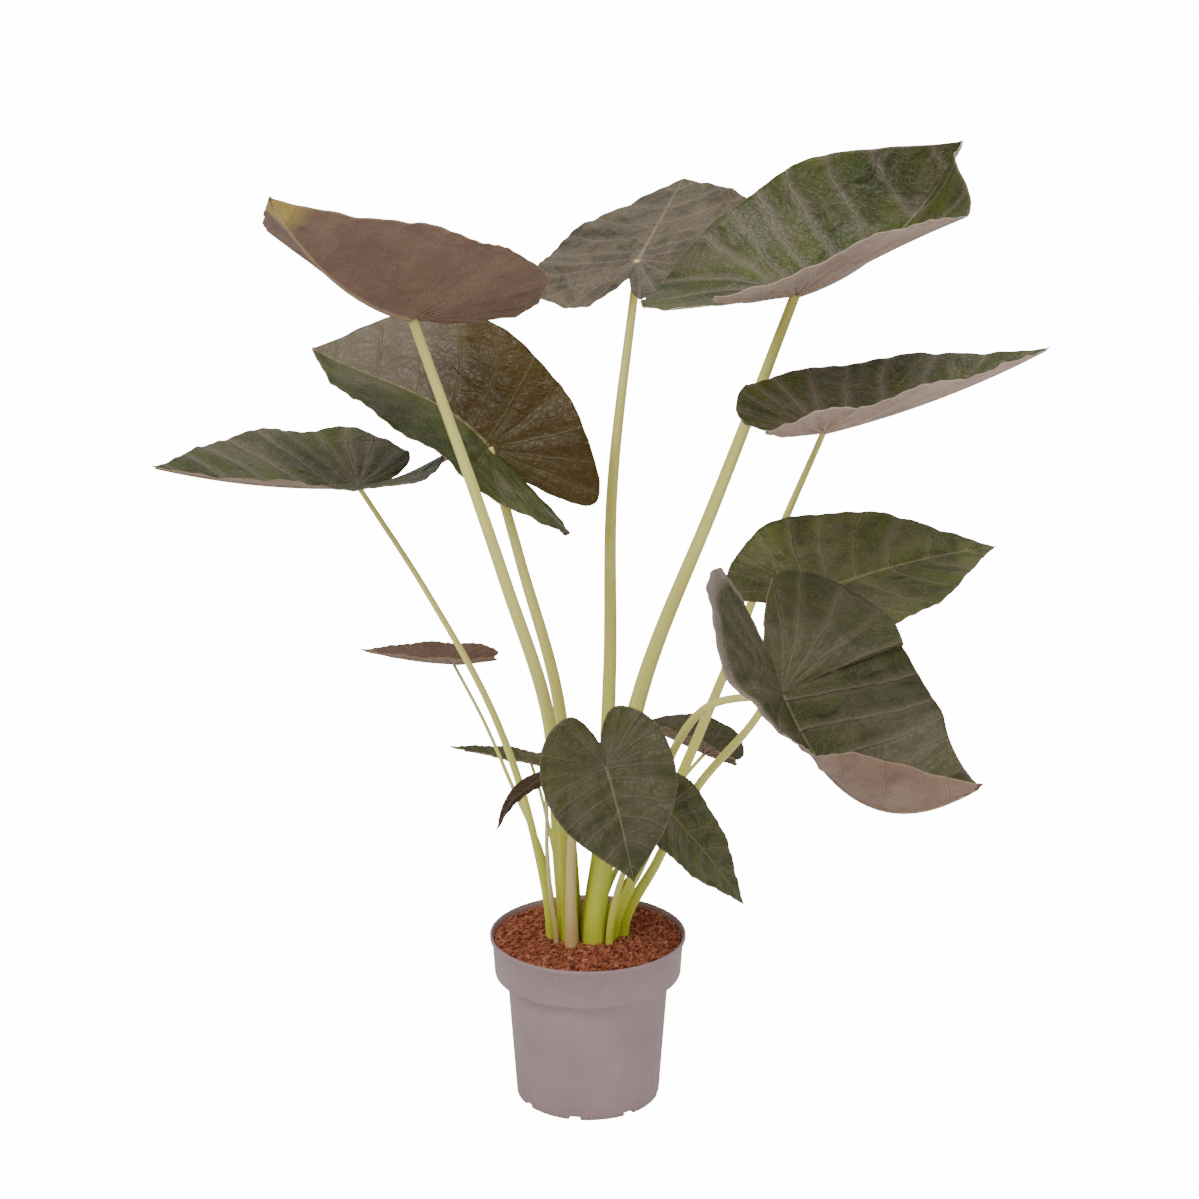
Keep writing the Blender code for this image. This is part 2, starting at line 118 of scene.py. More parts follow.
def add(tree, kind, links=None, **settings):
    """Adds a node: settings are its own values, links give each input a value or another node's output."""
    node = tree.nodes.new(kind)
    for key, value in settings.items():
        setattr(node, key, value)
    for key, value in (links or {}).items():
        if isinstance(value, bpy.types.NodeSocket):
            tree.links.new(value, node.inputs[key])
        else:
            node.inputs[key].default_value = value
    return node


def new_material(name):
    """Material with an empty tree but for its shader."""
    material = bpy.data.materials.new(name)
    material.use_nodes = True
    return material, material.node_tree, material.node_tree.nodes["Principled BSDF"]


def light(name, place, size, power):
    """Round soft light in metres and watts, turned to the middle of the plant."""
    data = bpy.data.lights.new(name, "AREA")
    data.shape = "DISK"
    data.size = size
    data.energy = power
    lamp = bpy.data.objects.new(name, data)
    lamp.location = place
    lamp.rotation_euler = (Vector((0, 0, 0.5)) - Vector(place)).to_track_quat("-Z", "Y").to_euler()
    bpy.context.scene.collection.objects.link(lamp)


def make_studio():
    """White paper floor that sweeps up behind, in a plain white room with three soft lights."""
    paper, tree, shader = new_material("white_paper")
    shader.inputs["Base Color"].default_value = srgb("#fbfbfa")
    shader.inputs["Roughness"].default_value = 0.95
    shader.inputs["Emission Color"].default_value = srgb("#ffffff")
    seen = add(tree, "ShaderNodeLightPath")
    glow = add(tree, "ShaderNodeMath", {0: seen.outputs["Is Camera Ray"], 1: PAPER_GLOW},
               operation="MULTIPLY")
    tree.links.new(glow.outputs[0], shader.inputs["Emission Strength"])
    # Shares of the sheet that lie level and that curve up, and the curve's radius
    level, curved, radius = 0.55, 0.25, 2.0
    bm = bmesh.new()
    bmesh.ops.create_grid(bm, x_segments=1, y_segments=40, size=1.0)
    for v in bm.verts:
        along = (v.co.y + 1) / 2
        bend = max(0.0, min(1.0, (along - level) / curved)) * math.pi / 2
        flat = min(along, level) * 12 - 5 + radius * math.sin(bend)
        high = radius * (1 - math.cos(bend)) + max(0.0, along - level - curved) * 20
        v.co = (v.co.x * 9, flat, high - 0.3 * MM)
    mesh = bpy.data.meshes.new("floor")
    bm.to_mesh(mesh)
    bm.free()
    mesh.shade_smooth()
    mesh.materials.append(paper)
    floor = bpy.data.objects.new("floor", mesh)
    bpy.context.scene.collection.objects.link(floor)
    world = bpy.data.worlds.new("studio")
    bpy.context.scene.world = world
    world.use_nodes = True
    world.node_tree.nodes["Background"].inputs["Color"].default_value = srgb("#ffffff")
    seen = add(world.node_tree, "ShaderNodeLightPath")
    bright = add(world.node_tree, "ShaderNodeMath",
                 {0: seen.outputs["Is Camera Ray"], 1: ROOM_GLOW, 2: ROOM_LIGHT}, operation="MULTIPLY_ADD")
    world.node_tree.links.new(bright.outputs[0], world.node_tree.nodes["Background"].inputs["Strength"])
    light("key", (-1.1, -1.9, 2.4), 1.2, 46)
    light("top", (0.5, 0.3, 2.6), 1.4, 24)
    light("fill", (1.8, -1.6, 1.0), 1.2, 9)


make_studio()


# Blade form, the same as the solids'

def vec(x, y, z):
    """Vector of three numbers."""
    return np.array((x, y, z), dtype=float)


def unit(v):
    """The same direction, one long."""
    return v / np.linalg.norm(v, axis=-1, keepdims=True)


def smooth(a, b, x):
    """Soft step from 0 at a to 1 at b."""
    t = np.clip((x - a) / (b - a), 0.0, 1.0)
    return t * t * (3.0 - 2.0 * t)


def spline(knots, values, x):
    """Cubic through the knots, with slopes taken from the neighbours."""
    knots = np.asarray(knots, dtype=float)
    values = np.asarray(values, dtype=float)
    slopes = np.gradient(values, knots)
    i = np.clip(np.searchsorted(knots, x, side="right") - 1, 0, len(knots) - 2)
    h = knots[i + 1] - knots[i]
    t = (x - knots[i]) / h
    return ((2 * t**3 - 3 * t**2 + 1) * values[i] + (t**3 - 2 * t**2 + t) * h * slopes[i]
            + (3 * t**2 - 2 * t**3) * values[i + 1] + (t**3 - t**2) * h * slopes[i + 1])


# Half outline of a blade, in blade lengths. The vein number g runs from the floor of the
# notch (-1) round the back lobe to the widest part (0) and on to the tip (1).
VEIN = (-1.00, -0.86, -0.72, -0.58, -0.42, -0.25, -0.08, 0.10, 0.28, 0.46, 0.63, 0.79, 0.91, 1.00)
ALONG = (-0.20, -0.36, -0.46, -0.46, -0.37, -0.22, -0.04, 0.15, 0.33, 0.51, 0.67, 0.82, 0.925, 1.00)
ASIDE = (0.00, 0.13, 0.29, 0.47, 0.72, 0.91, 0.99, 1.00, 0.93, 0.77, 0.55, 0.30, 0.11, 0.00)


class Blade:
    """One leaf blade: where it hangs, how far it reaches and how it is folded."""

    def __init__(self, joint, tip, width, roll=0.0, fold=(20.0, 20.0), back=None, nose=None,
                 arch=0.0, skew=0.0, hang=0.0, veer=0.0, twist=0.0, lobe=1.0,
                 splay=(0.0, 0.0), full=0.0, wave=3.0, waves=4.0, phase=0.0, quilt=1.0):
        self.joint = np.array(joint, dtype=float) * MM
        self.tip = np.array(tip, dtype=float) * MM
        self.width = width * MM
        self.roll = roll
        self.fold = fold
        self.back = fold if back is None else back
        self.nose = fold if nose is None else nose
        self.arch = arch
        self.veer = veer
        self.twist = twist
        self.lobe = lobe
        self.skew = skew
        self.hang = math.tan(math.radians(hang))
        self.splay = splay
        self.full = full
        self.wave = wave * MM
        self.waves = waves
        self.phase = phase
        self.quilt = quilt * MM
        run = self.tip - self.joint
        self.length = float(np.linalg.norm(run))
        self.axis = run / self.length
        up = vec(0, 0, 1)
        self.normal = unit(up - up.dot(self.axis) * self.axis)
        self.left = np.cross(self.normal, self.axis)

    def rib(self, t):
        """Points of the middle rib, t in blade lengths ahead of the joint."""
        t = np.asarray(t, dtype=float)
        ahead, behind = np.maximum(t, 0.0), np.minimum(t, 0.0)
        bow = 4.0 * ahead * (1.0 - ahead)
        slope = 4.0 * self.arch * (1.0 + self.skew)
        rise = (self.arch * bow * (1.0 + self.skew * (1.0 - 2.0 * ahead)) + self.hang * behind
                + (slope - self.hang) * 0.1 * (np.exp(behind / 0.1) - 1.0))
        side = self.veer * behind * behind / (0.05 - behind)
        return (self.joint + self.length * (t[..., None] * self.axis + rise[..., None] * self.normal
                                            + side[..., None] * self.left))

    def frame(self, t):
        """Directions left and up from the rib at t."""
        step = 1e-4
        ahead = unit(self.rib(t + step) - self.rib(t - step))
        roll = np.radians(self.roll + self.twist * np.clip(t, -0.3, 1.0))[..., None]
        up = np.cos(roll) * self.normal - np.sin(roll) * self.left
        up = unit(up - (up * ahead).sum(-1, keepdims=True) * ahead)
        return np.cross(up, ahead), up

    def point(self, side, g, u, offset=0.0):
        """Point on side +1 (left) or -1 (right), at vein g, a share u of the way to the edge."""
        edge_x = spline(VEIN, ALONG, g)
        edge_x = np.where(edge_x < 0, edge_x * self.lobe, edge_x)
        edge_y = spline(VEIN, ASIDE, g) + self.full * np.maximum(edge_x, 0.0) ** 2 * (1.0 - edge_x)
        splay = np.where(side > 0, self.splay[0], self.splay[1])
        edge_y = edge_y * (1.0 + splay * smooth(0.0, -0.4, edge_x))
        edge_y = np.maximum(edge_y, 0.0) * self.width / self.length
        root_x = np.maximum(g, 0.0) ** 1.55
        bow = 0.10 * np.maximum(g, 0.0) * (1.0 - g)
        x = root_x + (edge_x - root_x) * u - bow * 4 * u * (1 - u)
        y = edge_y * (u + 0.5 * bow * 4 * u * (1 - u))
        share = y * self.length / self.width
        rib = self.rib(x)
        left, up = self.frame(x)
        fold, back, nose = (np.where(side > 0, *pair) for pair in (self.fold, self.back, self.nose))
        lean = fold + (back - fold) * smooth(0.05, -0.35, x) + (nose - fold) * smooth(0.45, 0.95, x)
        lean = np.radians(lean)
        out = y * self.length * np.cos(lean)
        high = y * self.length * np.sin(lean)
        ripple = self.wave * share * u * np.sin(math.tau * (self.waves * 0.5 * (g + 1.0) + self.phase)
                                                 + 1.3 * side)
        body = np.sin(math.pi * np.clip(share, 0, 1)) * smooth(1.0, 0.8, g)
        ripple = ripple * smooth(1.0, 0.85, g) + self.quilt * body * np.cos(math.tau * 6.0 * g)
        lifted = ripple + offset
        across = side * (out - np.sin(lean) * lifted)
        high = high + np.cos(lean) * lifted
        return rib + across[..., None] * left + high[..., None] * up


BLADES = {
    "blade_top_left": Blade((-148, -120, 778), (-247, -258, 892), 118, roll=5, fold=(26, 29),
                            arch=-0.09, hang=-22, lobe=1.1, full=0.8),
    "blade_top_centre": Blade((49, 182, 792), (98, 340, 857), 113, roll=-24, fold=(12, -12),
                              back=(18, -8), hang=4, splay=(0.0, -0.2), full=0.7),
    "blade_top_right": Blade((192, 50, 776), (362, 188, 905), 128, roll=0, twist=26, fold=(24, 33),
                             back=(7, 12), nose=(30, 70), arch=-0.11, hang=-30, full=1.5),
    "blade_left_upper": Blade((-91, 15, 640), (-255, 45, 726), 107, roll=-18, fold=(16, 22),
                              back=(20, 30), arch=0.05, skew=1.0, hang=12, lobe=1.2,
                              splay=(-0.1, -0.2), full=1.5),
    "blade_left_long": Blade((-211, 0, 607), (-376, -120, 649), 100, roll=0, fold=(9, 22),
                             back=(28, 25), arch=-0.03, hang=-15, lobe=0.75),
    "blade_right_long": Blade((213, -35, 664), (428, 45, 727), 95, fold=(22, 25), back=(32, 25),
                              arch=-0.03, hang=-14, lobe=0.62),
    "blade_right_middle": Blade((200, -55, 517), (383, 30, 541), 87, roll=24, fold=(10, 10),
                                back=(-8, 10), arch=0.03, lobe=0.65),
    "blade_right_front": Blade((168, -185, 464), (322, -312, 426), 117, roll=0, twist=-20,
                               fold=(36, 28), back=(-15, 37), nose=(36, 33), arch=-0.30, hang=-45,
                               veer=0.25, lobe=0.8, splay=(0.5, 0.0), full=1.8),
    "blade_front_small": Blade((17, -120, 376), (42, -155, 279), 61, roll=33, fold=(12, 12), arch=0.02,
                               wave=2, quilt=0.6),
    "blade_front_low": Blade((72, -88, 324), (144, -96, 233), 50, roll=20, fold=(4, 4), arch=0.02,
                             lobe=0.6, splay=(-0.2, -0.2), wave=1.5, quilt=0.6),
    "blade_left_small": Blade((-129, 50, 421), (-218, 50, 435), 34, fold=(24, 20), arch=-0.03, hang=-15,
                              wave=1, quilt=0.3),
    "blade_left_low": Blade((-56, 62, 317), (-135, 62, 333), 20, fold=(15, 15), wave=1, quilt=0.2),
    "blade_curled": Blade((-39, -60, 337), (-83, -80, 300), 14, fold=(50, 50), arch=0.12, lobe=0.4,
                          wave=1, quilt=0.0),
    "blade_right_back": Blade((115, 80, 320), (48, 100, 345), 42, fold=(35, 35), wave=1.5, quilt=0.4),
}


class Stalk:
    """Leaf stalk from its sheath on the buried stem, through points, up to its blade."""

    def __init__(self, foot, through, radii, flat=1.0):
        self.foot = foot
        self.through = through
        self.radii = radii
        self.flat = flat


STALKS = {
    "top_left": Stalk((-21, -9), ((-26, -22, 246), (-36, -52, 400), (-73, -84, 538)), (8, 7, 6.3, 4.2)),
    "top_centre": Stalk((2, 6), ((13, 18, 255), (21, 60, 410), (23, 106, 568)), (8, 7.5, 6.5, 4.0)),
    "top_right": Stalk((5, -14), ((17, -12, 250), (54, 6, 420), (118, 32, 580)), (11, 9.5, 7.5, 4.8), 0.66),
    "left_upper": Stalk((-14, 8), ((-17, 8, 240), (-30, 9, 410), (-62, 12, 530)), (7, 6.5, 5.8, 4.2)),
    "left_long": Stalk((-36, -6), ((-48, -9, 253), (-88, -8, 388), (-150, -4, 508)), (4.5, 4, 3.4, 2.4)),
    "right_long": Stalk((19, 9), ((48, 20, 220), (124, 28, 402), (180, 30, 555)), (6, 5.4, 4.6, 2.8)),
    "right_middle": Stalk((34, 0), ((66, -8, 240), (102, -20, 318), (160, -44, 403)), (5.6, 4.8, 4.2, 3.2)),
    "right_front": Stalk((24, -8), ((42, -20, 226), (69, -38, 336), (104, -92, 419)), (6, 5, 4.2, 3.4)),
    "front_small": Stalk((-16, -25), ((-16, -32, 215), (-14, -48, 285), (-4, -82, 345)), (6, 5.2, 4.0, 2.4)),
    "front_low": Stalk((21, -21), ((27, -32, 214), (40, -52, 262), (60, -76, 304)), (3.5, 3.2, 2.6, 2.0)),
    "left_small": Stalk((-33, 6), ((-44, 10, 240), (-72, 22, 305), (-100, 36, 368)), (3, 2.6, 2.0, 1.6)),
    "left_low": Stalk((-25, 16), ((-29, 24, 215), (-38, 38, 258), (-49, 54, 298)), (2.5, 2.2, 1.8, 1.5)),
    "curled": Stalk((-30, -19), ((-35, -31, 215), (-38, -41, 265), (-38, -52, 315)), (2.6, 2.3, 2.0, 1.5)),
    "right_back": Stalk((10, 21), ((22, 28, 205), (52, 44, 252), (92, 66, 298)), (3.5, 3.0, 2.4, 1.8)),
}


# Materials

def cells(size):
    """Scale of a pattern whose cells are so many millimetres across."""
    return 1.0 / (size * MM)


def leaf_face(name, tones, vein, rib, gloss, sheen_tone, lines=(0.24, 0.22), crumple=1.0, half=None, tip=None,
              sheen_strip=None):
    """Cuticle of an aroid leaf: a satin waxy skin, mottled and a little crumpled, over paler veins.

    The veins follow the blade's own map, U across and V from notch to tip. Its attributes give span,
    the millimetres from vein to vein, rib, the distance from the middle rib in rib widths, and edge,
    the millimetres to the margin. lines is how much a vein and the pale band along it show, its second
    number also how dark the painted shade on one side of each vein is, and crumple how deep the hollows
    are and how dark the painted shade in them. The colour after gloss is that of patches of painted
    sheen, half the two colours painted on the far half for the light it takes, brown and, towards the
    tip, grey-mauve painted sheen, tip the colour of a drying tip, and the last colour that of a band of
    painted sheen inside the margin of the half on the right.
    """
    material, tree, shader = new_material(name)
    uv = add(tree, "ShaderNodeUVMap", uv_map="leaf")
    axes = add(tree, "ShaderNodeSeparateXYZ", {0: uv.outputs[0]})
    span, near_rib, edge = (add(tree, "ShaderNodeAttribute", attribute_name=key).outputs["Fac"]
                            for key in ("span", "rib", "edge"))
    place = add(tree, "ShaderNodeTexCoord").outputs["Object"]

    # Millimetres past the nearest side vein, which wanders a little, and from it
    wander = add(tree, "ShaderNodeTexNoise", {"Vector": place, "Scale": cells(35.7), "Detail": 2.0})
    shift = add(tree, "ShaderNodeMath", {0: wander.outputs["Fac"], 1: 0.35, 2: -0.175},
                operation="MULTIPLY_ADD")
    count = add(tree, "ShaderNodeMath", {0: axes.outputs["Y"], 1: float(VEINS), 2: shift.outputs[0]},
                operation="MULTIPLY_ADD")
    part = add(tree, "ShaderNodeMath", {0: count.outputs[0]}, operation="FRACT")
    middle = add(tree, "ShaderNodeMath", {0: part.outputs[0], 1: 0.5}, operation="SUBTRACT")
    past = add(tree, "ShaderNodeMath", {0: middle.outputs[0], 1: span}, operation="MULTIPLY")
    gap = add(tree, "ShaderNodeMath", {0: past.outputs[0]}, operation="ABSOLUTE")

    # Net of fine veins, uneven tone, crumpled hollows and patches of painted sheen
    net = add(tree, "ShaderNodeTexVoronoi", {"Vector": place, "Scale": cells(6.06)},
              feature="DISTANCE_TO_EDGE")
    patch = add(tree, "ShaderNodeTexNoise",
                {"Vector": place, "Scale": cells(62.5), "Detail": 4.0, "Roughness": 0.6})
    crease = add(tree, "ShaderNodeTexNoise",
                 {"Vector": place, "Scale": cells(29.4), "Detail": 2.0, "Distortion": 1.2})
    sheen_noise = add(tree, "ShaderNodeTexNoise",
               {"Vector": place, "Scale": cells(76.9), "Detail": 3.0, "Roughness": 0.7, "Distortion": 0.6})

    # What fades away: its source, where it is full and where gone, in millimetres from vein and margin,
    # its strength and its kind of fade. A vein's pale line is 4 mm wide, with a fainter band of 9 mm a side.
    fades = {
        "line": (gap.outputs[0], 0.3, 2.0, 1.0, "SMOOTHSTEP"),
        "band": (gap.outputs[0], 0.0, 9.0, 1.0, "SMOOTHSTEP"),
        "rib": (near_rib, 0.35, 1.05, 1.0, "SMOOTHSTEP"),
        "net": (net.outputs["Distance"], 0.0, 0.09, 1.0, "LINEAR"),
        # Painted shade on one side of each vein, as in a fold
        "painted_valley_shade": (past.outputs[0], 1.0, 8.0, 1.4 * lines[1], "LINEAR"),
        # Painted shade in the crumpled hollows
        "painted_hollow_shade": (crease.outputs["Fac"], 0.36, 0.52, 0.32 * crumple, "LINEAR"),
        # Grey-mauve patches of painted sheen
        "painted_sheen": (sheen_noise.outputs["Fac"], 0.66, 0.46, 0.55, "LINEAR"),
        "half": (axes.outputs["X"], 0.49, 0.51, 0.9, "LINEAR"),
        # Band of painted sheen inside the margin
        "sheen_strip": (edge, 9.0, 20.0, 0.75, "LINEAR"),
        "margin": (edge, 0.5, 1.6, 0.45, "LINEAR"),
    }
    shown = {}
    for key, (source, full, gone, strength, kind) in fades.items():
        links = {"Value": source, "From Min": full, "From Max": gone, "To Min": strength, "To Max": 0.0}
        shown[key] = add(tree, "ShaderNodeMapRange", links, interpolation_type=kind).outputs[0]

    # Colours, each laid over the ones before it
    # Painted shade first, in the hollows and beside each vein, then painted sheen
    below = add(tree, "ShaderNodeMath", {0: past.outputs[0], 1: 0.4}, operation="GREATER_THAN")
    painted_valley_shade = add(tree, "ShaderNodeMath", {0: shown["painted_valley_shade"], 1: below.outputs[0]}, operation="MULTIPLY")
    layers = [(shown["painted_hollow_shade"], srgb("#29241a")), (painted_valley_shade.outputs[0], srgb("#2a2618")),
              (shown["painted_sheen"], srgb(sheen_tone))]
    # The far half painted for the light it takes: brown, turning to grey-mauve painted sheen towards the tip
    if half:
        shade = add(tree, "ShaderNodeMath", {0: patch.outputs["Fac"], 1: 0.25, 2: axes.outputs["Y"]},
                    operation="MULTIPLY_ADD")
        ahead = add(tree, "ShaderNodeMapRange",
                    {"Value": shade.outputs[0], "From Min": 0.80, "From Max": 0.92})
        far = add(tree, "ShaderNodeMix", {0: ahead.outputs[0], 6: srgb(half[0]), 7: srgb(half[1])},
                  data_type="RGBA")
        layers.append((shown["half"], far.outputs[2]))
    for key, strength in (("net", 0.14), ("band", lines[1]), ("line", lines[0])):
        factor = add(tree, "ShaderNodeMath", {0: shown[key], 1: strength}, operation="MULTIPLY")
        layers.append((factor.outputs[0], srgb(vein)))
    # Band of painted sheen inside the margin of the half on the right
    if sheen_strip:
        right = add(tree, "ShaderNodeMath", {0: axes.outputs["X"], 1: 0.5}, operation="LESS_THAN")
        inside = add(tree, "ShaderNodeMath", {0: shown["sheen_strip"], 1: right.outputs[0]}, operation="MULTIPLY")
        layers.append((inside.outputs[0], srgb(sheen_strip)))
    if tip:
        near_tip = add(tree, "ShaderNodeMath", {0: patch.outputs["Fac"], 1: 0.12, 2: axes.outputs["Y"]},
                       operation="MULTIPLY_ADD")
        dried = add(tree, "ShaderNodeMapRange",
                    {"Value": near_tip.outputs[0], "From Min": 0.985, "From Max": 1.02, "To Max": 0.9})
        layers.append((dried.outputs[0], srgb(tip)))
    middle_rib = add(tree, "ShaderNodeMath", {0: shown["rib"], 1: 0.6}, operation="MULTIPLY")
    layers += [(middle_rib.outputs[0], srgb(rib)), (shown["margin"], srgb(rib))]
    tone = add(tree, "ShaderNodeValToRGB", {0: patch.outputs["Fac"]})
    dark, light_tone = tone.color_ramp.elements
    dark.position, light_tone.position = 0.36, 0.64
    dark.color, light_tone.color = srgb(tones[0]), srgb(tones[1])
    colour = tone.outputs["Color"]
    for factor, over in layers:
        colour = add(tree, "ShaderNodeMix", {0: factor, 6: colour, 7: over}, data_type="RGBA").outputs[2]
    tree.links.new(colour, shader.inputs["Base Color"])

    # Relief: crumples, then veins, net and a fine grain, which is drawn at 1.4 mm so that it shows
    ridge = add(tree, "ShaderNodeMath", {0: shown["band"], 1: shown["line"]}, operation="ADD")
    tall = add(tree, "ShaderNodeMath", {0: shown["net"], 1: 0.35, 2: ridge.outputs[0]},
               operation="MULTIPLY_ADD")
    grain = add(tree, "ShaderNodeTexNoise", {"Vector": place, "Scale": cells(1.43)})
    height = add(tree, "ShaderNodeMath", {0: grain.outputs["Fac"], 1: 0.12, 2: tall.outputs[0]},
                 operation="MULTIPLY_ADD")
    swell = add(tree, "ShaderNodeBump",
                {"Height": crease.outputs["Fac"], "Strength": 0.9, "Distance": 5 * MM * crumple})
    bump = add(tree, "ShaderNodeBump",
               {"Height": height.outputs[0], "Strength": 0.8, "Distance": 1.1 * MM,
                "Normal": swell.outputs[0]})
    tree.links.new(bump.outputs[0], shader.inputs["Normal"])
    dull = add(tree, "ShaderNodeMapRange",
               {"Value": patch.outputs["Fac"], "To Min": gloss - 0.06, "To Max": gloss + 0.10})
    tree.links.new(dull.outputs[0], shader.inputs["Roughness"])
    shader.inputs["IOR"].default_value = 1.45
    shader.inputs["Specular IOR Level"].default_value = 0.28
    return material


def stalk_skin(name, foot, middle, top):
    """Fleshy aroid petiole: pale, striped along its length, blushed in places, with a waxy skin."""
    material, tree, shader = new_material(name)
    uv = add(tree, "ShaderNodeUVMap", uv_map="leaf")
    axes = add(tree, "ShaderNodeSeparateXYZ", {0: uv.outputs[0]})
    ramp = add(tree, "ShaderNodeValToRGB", {0: axes.outputs["Y"]})
    elements = ramp.color_ramp.elements
    elements[0].position, elements[1].position = 0.12, 0.85
    elements[0].color, elements[1].color = srgb(foot), srgb(top)
    elements.new(0.45).color = srgb(middle)
    # Stripes on the stalk's own map, 34 round it and 3 along it
    stretched = add(tree, "ShaderNodeMapping", {0: uv.outputs[0], "Scale": (34.0, 3.0, 1.0)})
    stripes = add(tree, "ShaderNodeTexNoise", {"Vector": stretched.outputs[0], "Scale": 1.0, "Detail": 3.0})
    streak = add(tree, "ShaderNodeMapRange",
                 {"Value": stripes.outputs["Fac"], "From Min": 0.45, "From Max": 0.7, "To Max": 0.30})
    place = add(tree, "ShaderNodeTexCoord").outputs["Object"]
    blush = add(tree, "ShaderNodeTexNoise", {"Vector": place, "Scale": cells(45.5), "Detail": 3.0})
    pink = add(tree, "ShaderNodeMapRange",
               {"Value": blush.outputs["Fac"], "From Min": 0.5, "From Max": 0.75, "To Max": 0.20})
    colour = ramp.outputs["Color"]
    for factor, over in ((streak, "#a29a4c"), (pink, "#cfa37e")):
        colour = add(tree, "ShaderNodeMix", {0: factor.outputs[0], 6: colour, 7: srgb(over)},
                     data_type="RGBA").outputs[2]
    tree.links.new(colour, shader.inputs["Base Color"])
    bump = add(tree, "ShaderNodeBump",
               {"Height": stripes.outputs["Fac"], "Strength": 0.6, "Distance": 0.6 * MM})
    tree.links.new(bump.outputs[0], shader.inputs["Normal"])
    shader.inputs["Roughness"].default_value = 0.42
    shader.inputs["IOR"].default_value = 1.42
    return material


def moulded_polypropylene():
    """Injection-moulded taupe plastic with a satin grain and faint scuffs."""
    material, tree, shader = new_material("moulded_polypropylene")
    place = add(tree, "ShaderNodeTexCoord").outputs["Object"]
    cloud = add(tree, "ShaderNodeTexNoise", {"Vector": place, "Scale": cells(55.6), "Detail": 5.0})
    ramp = add(tree, "ShaderNodeValToRGB", {0: cloud.outputs["Fac"]})
    dark, pale = ramp.color_ramp.elements
    dark.position, pale.position = 0.3, 0.7
    dark.color, pale.color = srgb("#967d7e"), srgb("#a28b8a")
    speck = add(tree, "ShaderNodeTexNoise", {"Vector": place, "Scale": cells(3.85), "Detail": 2.0})
    dust = add(tree, "ShaderNodeMapRange",
               {"Value": speck.outputs["Fac"], "From Min": 0.62, "From Max": 0.75, "To Max": 0.35})
    colour = add(tree, "ShaderNodeMix", {0: dust.outputs[0], 6: ramp.outputs["Color"], 7: srgb("#b3a19e")},
                 data_type="RGBA")
    tree.links.new(colour.outputs[2], shader.inputs["Base Color"])
    rough = add(tree, "ShaderNodeMapRange", {"Value": cloud.outputs["Fac"], "To Min": 0.40, "To Max": 0.58})
    tree.links.new(rough.outputs[0], shader.inputs["Roughness"])
    # Mould grain, drawn at 1.1 mm so that it shows
    grain = add(tree, "ShaderNodeTexNoise", {"Vector": place, "Scale": cells(1.11), "Detail": 2.0})
    bump = add(tree, "ShaderNodeBump",
               {"Height": grain.outputs["Fac"], "Strength": 0.35, "Distance": 0.3 * MM})
    tree.links.new(bump.outputs[0], shader.inputs["Normal"])
    shader.inputs["IOR"].default_value = 1.49
    return material


def coconut_coir(name, dark, warm, pale):
    """Moist ground coir: matt red-brown crumbs, each a little different, with paler husk bits."""
    material, tree, shader = new_material(name)
    place = add(tree, "ShaderNodeTexCoord").outputs["Object"]
    crumb = add(tree, "ShaderNodeTexNoise",
                {"Vector": place, "Scale": cells(5.26), "Detail": 4.0, "Roughness": 0.65})
    ramp = add(tree, "ShaderNodeValToRGB", {0: crumb.outputs["Fac"]})
    elements = ramp.color_ramp.elements
    elements[0].position, elements[1].position = 0.32, 0.72
    elements[0].color, elements[1].color = srgb(dark), srgb(pale)
    elements.new(0.52).color = srgb(warm)
    tree.links.new(ramp.outputs["Color"], shader.inputs["Base Color"])
    # Grit of ground husk, just under a millimetre
    grit = add(tree, "ShaderNodeTexNoise", {"Vector": place, "Scale": cells(0.91), "Detail": 3.0})
    bump = add(tree, "ShaderNodeBump", {"Height": grit.outputs["Fac"], "Strength": 0.9, "Distance": 0.8 * MM})
    tree.links.new(bump.outputs[0], shader.inputs["Normal"])
    shader.inputs["Roughness"].default_value = 0.95
    shader.inputs["IOR"].default_value = 1.4
    return material


# Each leaf face's colour after its gloss is that of its patches of painted sheen
GREEN = leaf_face("waxy_leaf_green", ("#333b12", "#4a5216"), "#857868", "#8a7f60", 0.38, "#5d5344",
                  lines=(0.26, 0.34), crumple=1.2)
# Green leaf greyed all over by painted sheen
SHEEN_GREY = leaf_face("waxy_leaf_sheen_grey", ("#4c432f", "#645941"), "#85786a", "#8f8268", 0.42, "#6a5d52",
                 lines=(0.30, 0.26), crumple=2.0)
OLIVE = leaf_face("waxy_leaf_olive", ("#3e4718", "#5c6030"), "#7a7356", "#8c8258", 0.38, "#645a46",
                  lines=(0.22, 0.28), crumple=1.7)
# Its far half has painted light: brown, and grey-mauve painted sheen towards the tip
PAINTED_HALF = leaf_face("waxy_leaf_painted_half", ("#2f3a0a", "#455014"), "#726a46", "#8f8150", 0.36, "#696350",
                     lines=(0.20, 0.14), half=("#463104", "#6f6252"))
BRONZE = leaf_face("waxy_leaf_bronze", ("#363a17", "#4b4c24"), "#736a55", "#80765a", 0.40, "#625848",
                   lines=(0.16, 0.16))
